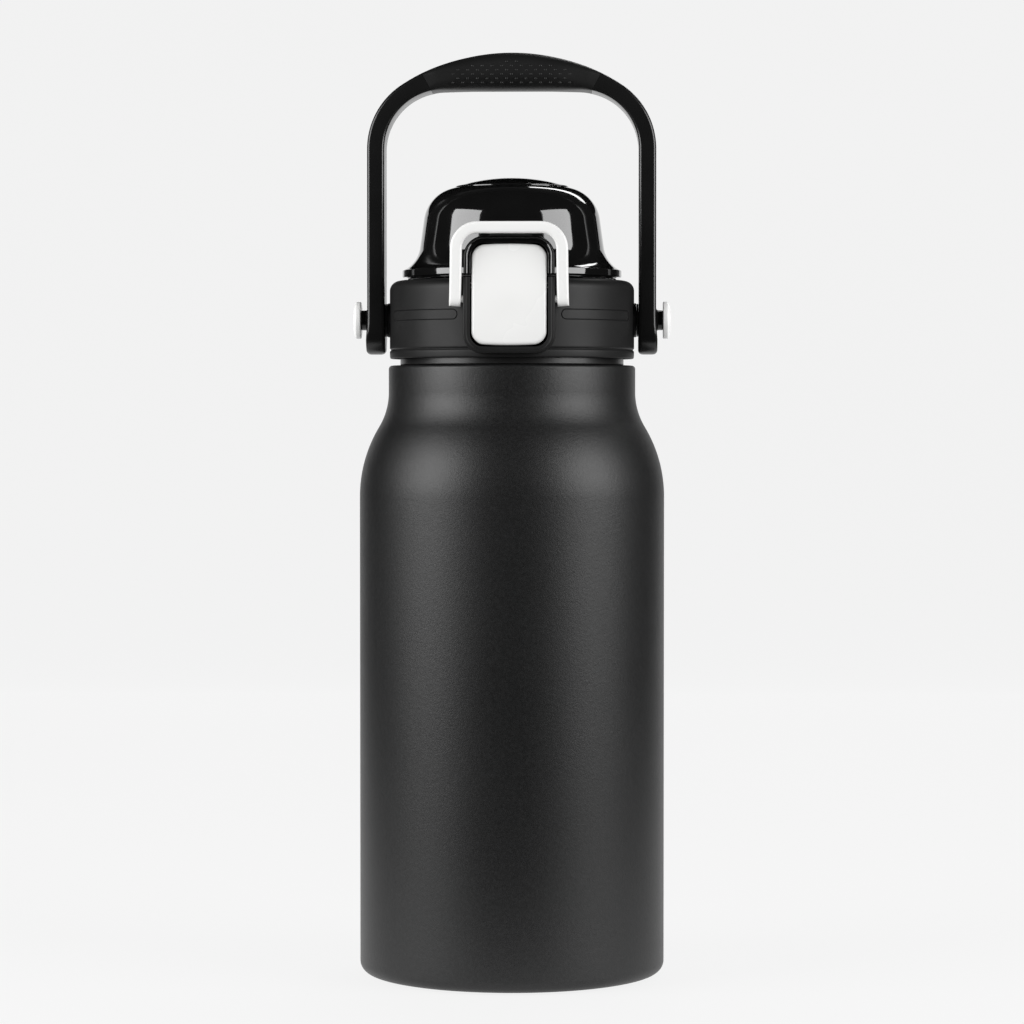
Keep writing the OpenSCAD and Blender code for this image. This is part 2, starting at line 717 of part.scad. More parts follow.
module lock_ring() {
    outer_x = ring_x + ring_w;
    splay = 0.4;
    foot_z = ring_pivot_z - ring_end_r - 1;
    top_z = ring_z1 + ring_w;
    color("white") union() {
        intersection() {
            from_front(ring_y - ring_t, ring_y + ring_t) difference() {
                polygon(concat([[-outer_x - splay, foot_z], [outer_x + splay, foot_z]],
                    arc([outer_x - ring_corner, top_z - ring_corner], ring_corner, 0, 90, 8),
                    arc([-outer_x + ring_corner, top_z - ring_corner], ring_corner, 90, 180, 8)));
                polygon(rounded_box(ring_x, foot_z - 1, ring_z1, 0.01, ring_corner - ring_w));
            }
            along_x(-outer_x - 2, outer_x + 2) {
                translate([ring_y, ring_pivot_z]) circle(r = ring_end_r);
                polygon([[ring_y - ring_t / 2, ring_pivot_z], [ring_y + ring_t / 2, ring_pivot_z],
                    [ring_y + ring_t / 2, ring_pivot_z + 5], [ring_y + ring_t / 2 - 0.6, ring_z1],
                    [ring_y + ring_t / 2 - 0.6, top_z + 1],
                    [ring_y - ring_t / 2 + 0.4, top_z + 1],
                    [ring_y - ring_t / 2 + 0.4, ring_z1], [ring_y - ring_t / 2, ring_pivot_z + 5]]);
            }
        }
        rod(stud_r, stud_x, ring_x + 1, ring_y, ring_pivot_z);
        rod(stud_r, -ring_x - 1, -stud_x, ring_y, ring_pivot_z);
    }
}

// ---- Handle ----

// Band of the handle, thinned by d, w wide from front to back
module handle_band(d, w) {
    foot_z = pivot_z - arm_drop;
    from_front(-w / 2, w / 2) difference() {
        polygon(concat([[arm_x1 - d, foot_z]], handle_outer(d), [[-arm_x1 + d, foot_z]]));
        polygon(concat([[arm_x0 + d, foot_z - 1]], handle_inner(d), [[-arm_x0 - d, foot_z - 1]]));
    }
}

module grip_zone(w) {
    translate([-grip_x, -w, corner_z]) cube([grip_l, 2 * w, 2 * handle_r]);
}

module handle_bail() {
    foot_r = arm_w / 2;
    foot_z = pivot_z - arm_drop + foot_r;
    color("#202022") difference() {
        union() {
            difference() {
                intersection() {
                    handle_band(0, arm_w);
                    along_x(-arm_x1 - 1, arm_x1 + 1) {
                        translate([0, foot_z]) circle(r = foot_r);
                        translate([-foot_r, foot_z]) square([arm_w, handle_top]);
                    }
                }
                grip_zone(arm_w);
            }
            intersection() {
                handle_band(grip_t, arm_w - 2 * grip_t - 2);
                grip_zone(arm_w);
            }
            for (x = [-boss_x, arm_x1 - 1]) rod(boss_r, x, x + boss_x - arm_x1 + 1, 0, pivot_z);
        }
        for (x = [-boss_x - 1, arm_x0 - 1]) rod(pivot_r + pin_fit, x, x + boss_x - arm_x0 + 2, 0, pivot_z);
    }
}

module grip_pad() {
    under_z = corner_z + handle_r - arm_t;
    color("#39393c") difference() {
        intersection() {
            handle_band(0, grip_w);
            grip_zone(grip_w);
            along_x(-grip_x - 1, grip_x + 1)
                polygon(rounded_box(grip_w / 2, under_z, handle_top + 1, grip_edge, 0.01));
        }
        intersection() {
            handle_band(grip_t, arm_w - 2 * grip_t - 2);
            grip_zone(arm_w);
        }
    }
}

module pivot_cap(s) {
    dome_r = (pow(cap_r, 2) + pow(cap_t - 1.2, 2)) / (2 * (cap_t - 1.2));
    color("white") translate([s * boss_x, 0, pivot_z]) rotate([0, s * 90, 0]) {
        rotate_extrude() polygon(concat(
            [[0, 0], [cap_r, 0], [cap_r, 1.2]],
            arc([0, cap_t - dome_r], dome_r, acos(cap_r / dome_r), 90)));
        translate([0, 0, pin_end_x + rest_gap - boss_x]) cylinder(r = pivot_r, h = boss_x - pin_end_x);
    }
}
module pivot_cap_left() { pivot_cap(-1); }
module pivot_cap_right() { pivot_cap(1); }

outer_shell();
mouth_tube();
inner_flask();
mouth_liner();
base_plate();
vacuum_seal();
getter_disc();
foot_pad();
mouth_gasket();
thread_ring();
lid_core();
collar_shell();
drinking_spout();
hinge_pin();
hinge_spring();
button_pin();
button_spring();
pivot_pin_left();
pivot_pin_right();
pivot_washer_left();
pivot_washer_right();
dome_cover();
cover_hood();
crown_insert();
dome_liner();
spout_stopper();
release_button();
lock_ring();
handle_bail();
grip_pad();
pivot_cap_left();
pivot_cap_right();
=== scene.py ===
import math

import bmesh
import bpy
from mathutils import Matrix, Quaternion, Vector


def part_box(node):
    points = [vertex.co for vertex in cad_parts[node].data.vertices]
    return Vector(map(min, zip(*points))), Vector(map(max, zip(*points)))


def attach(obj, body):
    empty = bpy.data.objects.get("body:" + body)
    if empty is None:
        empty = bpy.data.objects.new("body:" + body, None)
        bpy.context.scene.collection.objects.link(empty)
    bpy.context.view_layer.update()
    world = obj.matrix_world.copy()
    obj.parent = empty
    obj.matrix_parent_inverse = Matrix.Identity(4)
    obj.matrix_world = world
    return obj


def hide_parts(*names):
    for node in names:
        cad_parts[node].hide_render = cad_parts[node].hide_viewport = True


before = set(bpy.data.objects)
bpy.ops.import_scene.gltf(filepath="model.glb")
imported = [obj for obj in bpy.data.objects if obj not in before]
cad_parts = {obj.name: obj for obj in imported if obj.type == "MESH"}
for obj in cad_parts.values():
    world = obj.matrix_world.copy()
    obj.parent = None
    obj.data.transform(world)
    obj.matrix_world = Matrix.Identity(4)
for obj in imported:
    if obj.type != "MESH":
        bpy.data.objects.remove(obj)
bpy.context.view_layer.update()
print("frame loaded:", len(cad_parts), "nodes")

mm = 0.001               # every size below is in millimetres unless a line says otherwise


def span(node, axis):
    low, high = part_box(node)
    return low[axis] / mm, high[axis] / mm


# ---- outlines ----

def arc(cx, cz, r, a0, a1, n=16):
    turns = [math.radians(a0 + (a1 - a0) * i / n) for i in range(n + 1)]
    return [(cx + r * math.cos(t), cz + r * math.sin(t)) for t in turns]


def rounded(points, r, n=6):    # rounds every corner of a polyline that isn't at an end
    out = [points[0]]
    for before, here, after in zip(points, points[1:], points[2:]):
        a = Vector(before) - Vector(here)
        b = Vector(after) - Vector(here)
        reach = min(r, a.length * 0.49, b.length * 0.49)
        start = Vector(here) + a.normalized() * reach
        end = Vector(here) + b.normalized() * reach
        for k in range(n + 1):
            t = k / n
            out.append(tuple(start * (1 - t) ** 2 + Vector(here) * 2 * t * (1 - t) + end * t ** 2))
    return out + [points[-1]]


# ---- meshes ----

def meshObject(name, points, faces):
    mesh = bpy.data.meshes.new(name)
    mesh.from_pydata([Vector(p) * mm for p in points], [], faces)
    mesh.validate()
    obj = bpy.data.objects.new(name, mesh)
    bpy.context.scene.collection.objects.link(obj)
    return obj


def fixNormals(obj):
    bm = bmesh.new()
    bm.from_mesh(obj.data)
    bmesh.ops.remove_doubles(bm, verts=bm.verts, dist=0.000001)
    bmesh.ops.recalc_face_normals(bm, faces=bm.faces)
    bm.to_mesh(obj.data)
    bm.free()


def finishMesh(obj, angle=32):    # smooth shading that keeps the edges sharper than the angle
    obj.data.polygons.foreach_set("use_smooth", [True] * len(obj.data.polygons))
    obj.data.set_sharp_from_angle(angle=math.radians(angle))
    obj.data.update()
    return obj


def lathe(name, profile, around=192, centre=(0, 0)):    # profile: closed loop of (radius, height)
    points, faces, rings = [], [], []
    for r, z in profile:
        if r < 0.001:
            rings.append([len(points)] * around)
            points.append((centre[0], centre[1], z))
        else:
            rings.append(list(range(len(points), len(points) + around)))
            for k in range(around):
                t = 2 * math.pi * k / around
                points.append((centre[0] + r * math.cos(t), centre[1] + r * math.sin(t), z))
    for i, ring in enumerate(rings):
        nextRing = rings[(i + 1) % len(rings)]
        for k in range(around):
            m = (k + 1) % around
            corners = list(dict.fromkeys([ring[k], ring[m], nextRing[m], nextRing[k]]))
            if len(corners) > 2:
                faces.append(corners)
    obj = meshObject(name, points, faces)
    fixNormals(obj)
    return obj


def stack(name, rings, closed=False):    # skins a list of equal rings of 3-D points
    n = len(rings[0])
    points = [p for ring in rings for p in ring]
    faces = []
    count = len(rings) if closed else len(rings) - 1
    for i in range(count):
        a, b = i * n, (i + 1) % len(rings) * n
        faces += [(a + k, a + (k + 1) % n, b + (k + 1) % n, b + k) for k in range(n)]
    if not closed:
        faces += [tuple(range(n - 1, -1, -1)), tuple(range(len(points) - n, len(points)))]
    obj = meshObject(name, points, faces)
    fixNormals(obj)
    return obj


def prism(name, outline, low, high, along="y", bevel=0.0, segments=3):
    place = {"x": lambda a, b, c: (c, a, b), "y": lambda a, b, c: (a, c, b),
             "z": lambda a, b, c: (a, b, c)}[along]
    obj = stack(name, [[place(a, b, c) for a, b in outline] for c in (low, high)])
    if bevel:
        edge = obj.modifiers.new("edge", "BEVEL")
        edge.width = bevel * mm
        edge.segments = segments
        edge.limit_method = "ANGLE"
        edge.angle_limit = math.radians(40)
        applyModifiers(obj)
    return obj


def applyModifiers(obj):
    shape = obj.evaluated_get(bpy.context.evaluated_depsgraph_get())
    mesh = bpy.data.meshes.new_from_object(shape)
    obj.modifiers.clear()
    obj.data = mesh


def cut(obj, *cutters, how="DIFFERENCE"):
    for cutter in cutters:
        step = obj.modifiers.new("cut", "BOOLEAN")
        step.operation = how
        step.solver = "EXACT"
        step.object = cutter
        applyModifiers(obj)
        bpy.data.objects.remove(cutter)
    return obj


def join(obj, *others):    # one mesh of several closed shells
    bm = bmesh.new()
    for part in (obj, *others):
        bm.from_mesh(part.data)
    bm.to_mesh(obj.data)
    bm.free()
    for part in others:
        bpy.data.objects.remove(part)
    return obj


def settle(obj, body, slot, material, *nodes, angle=32):
    finishMesh(obj, angle)
    obj.data.materials.clear()
    obj.data.materials.append(material)
    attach(obj, body)
    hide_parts(*nodes)
    return obj


# ---- materials ----

class Sock:
    # wraps a shader socket, so that sums on it add Math nodes
    def __init__(self, kit, link):
        self.kit, self.link = kit, link

    def sum(self, operation, *others):
        return self.kit.node("ShaderNodeMath", {"operation": operation}, *others)

    def __add__(self, other):
        return self.sum("ADD", self, other)

    def __sub__(self, other):
        return self.sum("SUBTRACT", self, other)

    def __mul__(self, other):
        return self.sum("MULTIPLY", self, other)

    def __rsub__(self, other):
        return self.sum("SUBTRACT", other, self)

    __radd__ = __add__
    __rmul__ = __mul__


class Kit:
    # one material: node() adds a node from its type, settings and inputs
    def __init__(self, name, **constants):
        self.material = bpy.data.materials.new(name)
        self.material.use_nodes = True
        self.tree = self.material.node_tree
        self.shader = self.tree.nodes["Principled BSDF"]
        for key, value in constants.items():
            self.shader.inputs[key.replace("_", " ")].default_value = value

    def node(self, kind, settings=None, *values, out=0, **named):
        made = self.tree.nodes.new(kind)
        for key, value in (settings or {}).items():
            if key == "stops":
                ramp = made.color_ramp.elements
                while len(ramp) < len(value):
                    ramp.new(0.5)
                for stop, (place, shade) in zip(ramp, value):
                    stop.position = place
                    stop.color = (shade, shade, shade, 1)
            else:
                setattr(made, key, value)
        for key, value in [*enumerate(values), *((k.replace("_", " "), v) for k, v in named.items())]:
            self.feed(made.inputs[key], value)
        return Sock(self, made.outputs[out])

    def feed(self, socket, value):
        if isinstance(value, Sock):
            self.tree.links.new(value.link, socket)
        else:
            socket.default_value = value

    def shade(self, **named):
        for key, value in named.items():
            self.feed(self.shader.inputs[key.replace("_", " ")], value)
        return self.material

    def place(self):
        return self.node("ShaderNodeTexCoord", out=3)

    def noise(self, scale, detail=2.0, roughness=0.5):
        return self.node("ShaderNodeTexNoise", None, Vector=self.place(), Scale=scale, Detail=detail,
                         Roughness=roughness)

    def range(self, value, low, high, toLow, toHigh):
        return self.node("ShaderNodeMapRange", None, value, low, high, toLow, toHigh)

    def blend(self, factor, first, second):
        return self.node("ShaderNodeMix", {"data_type": "RGBA"}, out=2, Factor=factor, A=first, B=second)

    def bump(self, height, strength, distance):
        return self.node("ShaderNodeBump", None, Height=height, Strength=strength, Distance=distance)


def tint(shade, warm=0.0):
    return (shade * (1 + warm), shade, shade * (1 - warm), 1)


powderLook = dict(shade=0.0045, light=0.011, roughness=0.44, grain=2600, lump=900, bump=0.6, depth=0.00014)


def powderCoat(look):
    kit = Kit("powderCoat", Specular_IOR_Level=0.5)
    grain = kit.noise(look["grain"], 3.0, 0.65)
    lump = kit.noise(look["lump"], 2.0)
    wear = kit.noise(14, 4.0)
    height = grain * 0.6 + lump * 0.4
    fleck = kit.range(height, 0.42, 0.66, 0.0, 1.0)
    colour = kit.blend(fleck, tint(look["shade"], -0.02), tint(look["light"], -0.02))
    rough = kit.range(wear + grain, 0.7, 1.3, look["roughness"] - 0.04, look["roughness"] + 0.05)
    return kit.shade(Base_Color=colour, Roughness=rough, Normal=kit.bump(height, look["bump"], look["depth"]))


def mouldedPlastic(name, shade, roughness, grain=3200, bump=0.25, depth=0.00005, spread=0.04, **constants):
    kit = Kit(name, **constants)
    fine = kit.noise(grain, 2.0)
    broad = kit.noise(60, 3.0)
    colour = kit.blend(kit.range(broad + fine, 0.7, 1.3, 0.0, 1.0), tint(shade * 0.9), tint(shade * 1.12))
    rough = kit.range(broad, 0.3, 0.7, roughness - spread, roughness + spread)
    return kit.shade(Base_Color=colour, Roughness=rough, Normal=kit.bump(fine, bump, depth))


def glossBlack(name, roughness):
    kit = Kit(name, Specular_IOR_Level=0.6)
    haze = kit.noise(90, 4.0)
    ripple = kit.noise(26, 1.0)
    rough = kit.range(haze, 0.35, 0.75, roughness, roughness + 0.035)
    colour = kit.blend(haze, tint(0.0042), tint(0.0062))
    return kit.shade(Base_Color=colour, Roughness=rough, Coat_Weight=0.4,
                     Normal=kit.bump(ripple, 0.04, 0.0004))


def whitePlastic(name, shade=0.77, roughness=0.26):
    kit = Kit(name, Specular_IOR_Level=0.5, Subsurface_Weight=0.0)
    fine = kit.noise(2400, 2.0)
    broad = kit.noise(45, 3.0)
    colour = kit.blend(broad, (shade, shade, shade * 0.985, 1),
                       (shade * 0.97, shade * 0.972, shade * 0.965, 1))
    rough = kit.range(broad, 0.3, 0.7, roughness - 0.03, roughness + 0.04)
    return kit.shade(Base_Color=colour, Roughness=rough, Normal=kit.bump(fine, 0.06, 0.00003))


def steel(name, shade=0.55, roughness=0.3, stretch=(40, 40, 2400)):
    kit = Kit(name, Metallic=1.0)
    mapped = kit.node("ShaderNodeMapping", None, kit.place(), Scale=stretch)
    brush = kit.node("ShaderNodeTexNoise", None, Vector=mapped, Scale=1.0, Detail=3.0)
    colour = kit.blend(brush, tint(shade * 0.85, 0.01), tint(shade, 0.01))
    rough = kit.range(brush, 0.3, 0.7, roughness - 0.07, roughness + 0.1)
    return kit.shade(Base_Color=colour, Roughness=rough, Normal=kit.bump(brush, 0.15, 0.00003))


def silicone(name, colour, roughness=0.55):
    kit = Kit(name, Specular_IOR_Level=0.4)
    fine = kit.noise(1800, 2.0)
    broad = kit.noise(80, 3.0)
    low = tuple(c * 0.88 for c in colour) + (1,)
    high = tuple(min(1, c * 1.06) for c in colour) + (1,)
    return kit.shade(Base_Color=kit.blend(broad, low, high), Normal=kit.bump(fine, 0.2, 0.00005),
                     Roughness=kit.range(broad, 0.3, 0.7, roughness - 0.05, roughness + 0.05))


print("helpers ready")

# ---- camera: level with the neck, looking slightly down ----

view = dict(distance=1.220, height=0.1924, aim=0.158, lens=125.4, turn=math.radians(1.35))
camera = bpy.data.objects.new("camera", bpy.data.cameras.new("camera"))
camera.data.lens = view["lens"]
camera.data.sensor_width = 36
camera.location = (view["distance"] * math.sin(view["turn"]),
                   -view["distance"] * math.cos(view["turn"]), view["height"])
dip = math.atan2(view["height"] - view["aim"], view["distance"])
camera.rotation_euler = (math.pi / 2 - dip, 0, view["turn"])
bpy.context.scene.collection.objects.link(camera)
bpy.context.scene.camera = camera

# ---- flask: barrel, shoulder and neck in powder coat, bare steel inside ----

flask = dict(neckR=42.1, neckH=9, shoulderR=46, hollowR=23, cornerR=4, neckEdge=1.2, wall=0.8,
             tubeR=33.4, mouthH=17.5)
bodyR = span("outer_shell", 0)[1]
footZ = span("outer_shell", 2)[0]
lipZ = span("mouth_tube", 2)[1]
mouthZ = span("mouth_liner", 2)[1]
neckZ = mouthZ - flask["mouthH"]


def flaskLine(d, z0, corner, z1, edge):    # barrel line moved inward by d, bottom to top
    bend, hollow, neckR = flask["shoulderR"], flask["hollowR"], flask["neckR"]
    turn = math.degrees(math.acos(1 - (bodyR - neckR) / (bend + hollow)))
    hollowZ = neckZ - flask["neckH"]
    shoulderZ = hollowZ - (bend + hollow) * math.sin(math.radians(turn))
    low = arc(bodyR - d - corner, z0 + corner, corner, -90, 0, 10)
    straight = [(bodyR - d, z0 + corner + (shoulderZ - z0 - corner) * k / 24) for k in range(1, 24)]
    return (low + straight + arc(bodyR - bend, shoulderZ, bend - d, 0, turn, 20)
            + arc(neckR + hollow, hollowZ, hollow + d, 180 + turn, 180, 16)[1:]
            + arc(neckR - d - edge, z1 - edge, edge, 0, 90, 6))


def ridge(name, root, crest, z0, a0, sweep=300, lead=8, width=2.0):
    rings = []
    steps = int(sweep / 5)
    sign = 1 if crest > root else -1
    for i in range(steps + 1):
        a = math.radians(a0 + sweep * i / steps)
        z = z0 + lead * sweep / 360 * i / steps
        fade = min(1, i / 6, (steps - i) / 6)    # the ridge runs out at both ends
        high = root + (crest - root) * max(fade, 0.3)
        cutLine = [(root, -width / 2), (high - 0.25 * sign, -width / 4 - 0.12), (high, -width / 4 + 0.18),
                   (high, width / 4 - 0.18), (high - 0.25 * sign, width / 4 + 0.12), (root, width / 2)]
        rings.append([(r * math.cos(a), r * math.sin(a), z + h) for r, h in cutLine])
    return stack(name, rings)


def buildShell():
    wall, tubeR = flask["wall"], flask["tubeR"]
    baseR = bodyR - flask["cornerR"] - 3
    shell = lathe("flaskShell", [(baseR, footZ)]
                  + flaskLine(0, footZ, flask["cornerR"], neckZ, flask["neckEdge"])
                  + rounded([(tubeR + 4, neckZ), (tubeR, neckZ), (tubeR, lipZ)], 0.8)
                  + [(tubeR - wall, lipZ), (tubeR - wall, neckZ - wall)]
                  + flaskLine(wall, footZ + wall, flask["cornerR"] - wall, neckZ - wall,
                              flask["neckEdge"] - wall)[::-1]
                  + [(baseR, footZ + wall)], 256)
    ridges = [ridge("ridge", tubeR - 0.3, tubeR + 1.6, neckZ + 5, a) for a in (0, 180)]
    return join(shell, *ridges)


settle(buildShell(), "flask", "powder_black", powderCoat(powderLook), "outer_shell", "mouth_tube", angle=40)


def buildInner():
    inset, t = 4.3, flask["wall"]
    z0, top, mouthR = span("inner_flask", 2)[0], neckZ - 4.3, 31.0
    return lathe("innerFlask", [(0, z0)] + flaskLine(inset, z0, 6, top, 5)
                 + [(mouthR + t, top), (mouthR + t, mouthZ - t)]
                 + rounded([(mouthR + t, mouthZ - t), (flask["tubeR"], mouthZ - t), (flask["tubeR"], mouthZ),
                            (mouthR, mouthZ), (mouthR, mouthZ - 2)], 0.35)[1:]
                 + [(mouthR, top - t)] + flaskLine(inset + t, z0 + t, 6 - t, top - t, 5 - t)[::-1]
                 + [(0, z0 + t)])


bareSteel = steel("bareSteel", 0.6, 0.28)
settle(buildInner(), "flask", "bare_steel", bareSteel, "inner_flask", "mouth_liner", angle=40)
print("flask built")

# ---- foot pad: a silicone ring with rounded grooves ----

foot = dict(width=20, grooves=3, grooveW=1.2, grooveD=0.5, edge=0.35)


def buildFoot():
    padR, top = span("foot_pad", 0)[1], span("foot_pad", 2)[1]
    padIn = padR - foot["width"]
    under = [(padIn, top), (padIn, 0)]
    for k in range(foot["grooves"], 0, -1):
        r = padR - k * foot["width"] / (foot["grooves"] + 1)
        w, d = foot["grooveW"] / 2, foot["grooveD"]
        under += [(r - w, 0), (r - w * 0.6, d), (r + w * 0.6, d), (r + w, 0)]
    return lathe("footPad", rounded(under + [(padR, 0), (padR, top)], foot["edge"], 4))


settle(buildFoot(), "flask", "foot_silicone", silicone("footSilicone", (0.02, 0.02, 0.021)), "foot_pad")

# ---- collar: matte shell, raised frame around the button, slots, lugs and hinge brackets ----

collar = dict(radius=41.7, inner=39.5, edge=3.4, lip=1.5, lipR=38.3, wellR=31.0, top=2.4, groove=0.5,
              grooveAt=3.0, slotH=3.3, slotLine=0.19, slotFrom=26.8, slotTo=70, slotUp=1.1, lugR=5.8,
              bracketX=(9.2, 13.0))
front = dict(drum=90, out=2.8, up=6.7, pocketX=12.9, pocketUp=3.5, wall=2.3, back=-38.3, corner=4.2)
collarLow, collarTop = span("collar_shell", 2)
drumY = front["drum"] - collar["radius"] - front["out"]
drumZ = collarLow + front["up"]
hingeY, hingeZ = 45.2, collarTop - 16.8


def faceY(z):    # depth of the front face that the button, its frame and the hood share
    return drumY - math.sqrt(front["drum"] ** 2 - (z - drumZ) ** 2)


def frameSweep(name, path, back):    # the raised frame: one section carried along an outline
    wall = front["wall"]
    section = [(0.0, None), (0.0, 0.95), (0.1, 0.78), (0.28, 0.7), (0.85, 0.7), (1.0, 0.62), (1.06, 0.42),
               (1.16, 0.16), (1.36, 0.02), (1.66, 0.0), (1.92, 0.06), (2.14, 0.24), (2.26, 0.52),
               (wall, 0.9), (wall, None)]
    rings = []
    for i, (x, z) in enumerate(path):
        ahead, behind = path[min(i + 1, len(path) - 1)], path[max(i - 1, 0)]
        along = Vector((ahead[0] - behind[0], ahead[1] - behind[1])).normalized()
        outward = Vector((along[1], -along[0]))
        ring = []
        for n, deep in section:
            px, pz = x + outward[0] * n, z + outward[1] * n
            ring.append((px, back if deep is None else faceY(pz) + deep, pz))
        rings.append(ring)
    return stack(name, rings)


def uPath(halfW, end, turn, corner, up):    # open at z = end, turning round at z = turn
    s = 1 if up else -1
    c = turn - s * corner
    steps = [end + (c - end) * k / 12 for k in range(12)]
    right = arc(halfW - corner, c, corner, 0, s * 90, 12)
    half = [(halfW, z) for z in steps] + right
    other = [(-x, z) for x, z in half[::-1]]
    flat = [((halfW - corner) * (1 - k / 6), turn) for k in range(1, 12)]
    path = half + flat + other
    return path[::-1] if not up else path


def stadiumCutter(a0, a1):    # a thin closed tube that follows a slot's outline round the collar
    r, line, half = collar["radius"] + 0.02, collar["slotLine"], collar["slotH"] / 2
    midZ = (collarLow + collarTop) / 2 + collar["slotUp"]
    width = math.radians(a1 - a0) * r
    loop = (arc(width, 0, half, -90, 90, 12) + [(width * (1 - k / 24), half) for k in range(1, 24)]
            + arc(0, 0, half, 90, 270, 12) + [(width * k / 24, -half) for k in range(1, 24)])
    rings = []
    for i, (s, h) in enumerate(loop):
        ahead, behind = loop[(i + 1) % len(loop)], loop[i - 1]
        along = Vector((ahead[0] - behind[0], ahead[1] - behind[1])).normalized()
        side = Vector((along[1], -along[0]))
        ring = []
        for k in range(8):
            t = 2 * math.pi * k / 8
            u = s + side[0] * line * math.cos(t)
            a = math.radians(a0 - 90) + u / r
            rad = r + line * 1.5 * math.sin(t)
            ring.append((rad * math.cos(a), rad * math.sin(a), midZ + h + side[1] * line * math.cos(t)))
        rings.append(ring)
    return stack("slotCutter", rings, closed=True)


def pocketPrism(halfW, z0, z1, y0, y1, corner):
    outline = [(-halfW, z1)] + arc(-halfW + corner, z0 + corner, corner, 180, 270, 8) \
        + arc(halfW - corner, z0 + corner, corner, -90, 0, 8) + [(halfW, z1)]
    return prism("pocket", outline, y0, y1)


def buildCollar():
    r, g, e = collar["radius"], collar["groove"], collar["edge"]
    gz = collarLow + collar["grooveAt"]
    line = ([(collar["lipR"], collarLow)]
            + rounded([(r - 2, collarLow), (r - 0.1, collarLow), (r - 0.02, collarLow + 1.4)], 0.6)
            + rounded([(r, gz - 1.2), (r, gz - g), (r - g, gz), (r, gz + g), (r, gz + 1.2)], 0.22, 3)
            + [(r, gz + 2.2 + k * 1.9) for k in range(9)]
            + arc(r - e, collarTop - e, e, 0, 90, 14)
            + rounded([(r - e - 1, collarTop), (collar["wellR"], collarTop),
                       (collar["wellR"], collarTop - 2.4)], 0.5)
            + [(collar["inner"], collarTop - collar["top"]), (collar["inner"], collarLow + collar["lip"]),
               (collar["lipR"], collarLow + collar["lip"])])
    shell = lathe("collar", line, 240)
    cut(shell, pocketPrism(front["pocketX"] + 0.2, collarLow + front["pocketUp"] - 0.2, collarTop + 4, -60,
                           front["back"], 4))
    cut(shell, stadiumCutter(collar["slotFrom"], collar["slotTo"]),
        stadiumCutter(-collar["slotTo"], -collar["slotFrom"]))
    low = uPath(front["pocketX"], collarTop, collarLow + front["pocketUp"], front["corner"], False)
    parts = [frameSweep("frameLow", low, -37.2)]
    for s in (-1, 1):
        lugX = (s * (r - 1.6), s * span("collar_shell", 0)[1])
        lug = lathe("lug", [(0, 0), (collar["lugR"], 0)] + rounded([(collar["lugR"], 0.4),
                    (collar["lugR"], abs(lugX[1] - lugX[0])), (2.55, abs(lugX[1] - lugX[0]))], 0.25)
                    + [(0, abs(lugX[1] - lugX[0]))], 64)
        for v in lug.data.vertices:
            x, y, z = v.co
            v.co = (lugX[0] * mm + s * z, y, span("pivot_pin_right", 2)[0] * mm
                    + (span("pivot_pin_right", 2)[1] - span("pivot_pin_right", 2)[0]) / 2 * mm + s * x)
        x0, x1 = sorted(s * x for x in collar["bracketX"])
        ear = arc(hingeY, hingeZ, 3.2, -90, 90, 14) + [(collar["inner"] - 2.5, hingeZ + 4.6),
                                                       (collar["inner"] - 2.5, hingeZ - 4.6)]
        parts += [lug, prism("bracket", ear, x0, x1, "x", 0.4)]
    rest = [(collar["inner"], hingeZ - 9), (hingeY - 2.75, hingeZ - 9), (hingeY - 2.75, hingeZ - 4),
            (collar["inner"], hingeZ - 4)]
    parts.append(prism("springRest", rest, 3.85, 4.75, "x", 0.15, 2))
    return join(shell, *parts)


collarPlastic = mouldedPlastic("collarPlastic", 0.0085, 0.50, 3000, 0.4, 0.00008, Specular_IOR_Level=0.28)
settle(buildCollar(), "lid", "collar_black", collarPlastic, "collar_shell")
print("collar built")

# ---- cover: bell, crown disc, hood over the button, catch and hinge leaf ----

cover = dict(rimR=37.4, wall=2.0, bellR=12.4, flareR=10.3, lean=8, creaseR=19.5, crownR=63, flange=1.4,
             seam=1.2, hoodTop=0.4, hoodCorner=4.5)
coverZ = collarTop + cover["seam"]
crownZ = span("crown_insert", 2)[1]
insertZ = span("crown_insert", 2)[0]
buttonTop = span("release_button", 2)[1]


def bellLine(d, rim, top):
    lean, bellR, flareR = cover["lean"], cover["bellR"], cover["flareR"]
    c, s, t = math.cos(math.radians(lean)), math.sin(math.radians(lean)), math.tan(math.radians(lean))
    bellX, bellZ = cover["creaseR"] - 1.8, crownZ - 15.7
    flareZ = coverZ + cover["flange"] + flareR
    flareX = bellX + bellR * c + flareR * c + (bellZ + bellR * s - flareZ + flareR * s) * t
    low = math.degrees(math.acos((flareX - rim) / (flareR + d)))
    high = math.degrees(math.asin(min(1, (top - bellZ) / (bellR - d))))
    flare = arc(flareX, flareZ, flareR + d, 180 + low, 180 + lean, 20)
    bell = arc(bellX, bellZ, bellR - d, lean, high, 24)
    between = [tuple(Vector(flare[-1]).lerp(Vector(bell[0]), k / 8)) for k in range(1, 8)]
    return flare + between + bell


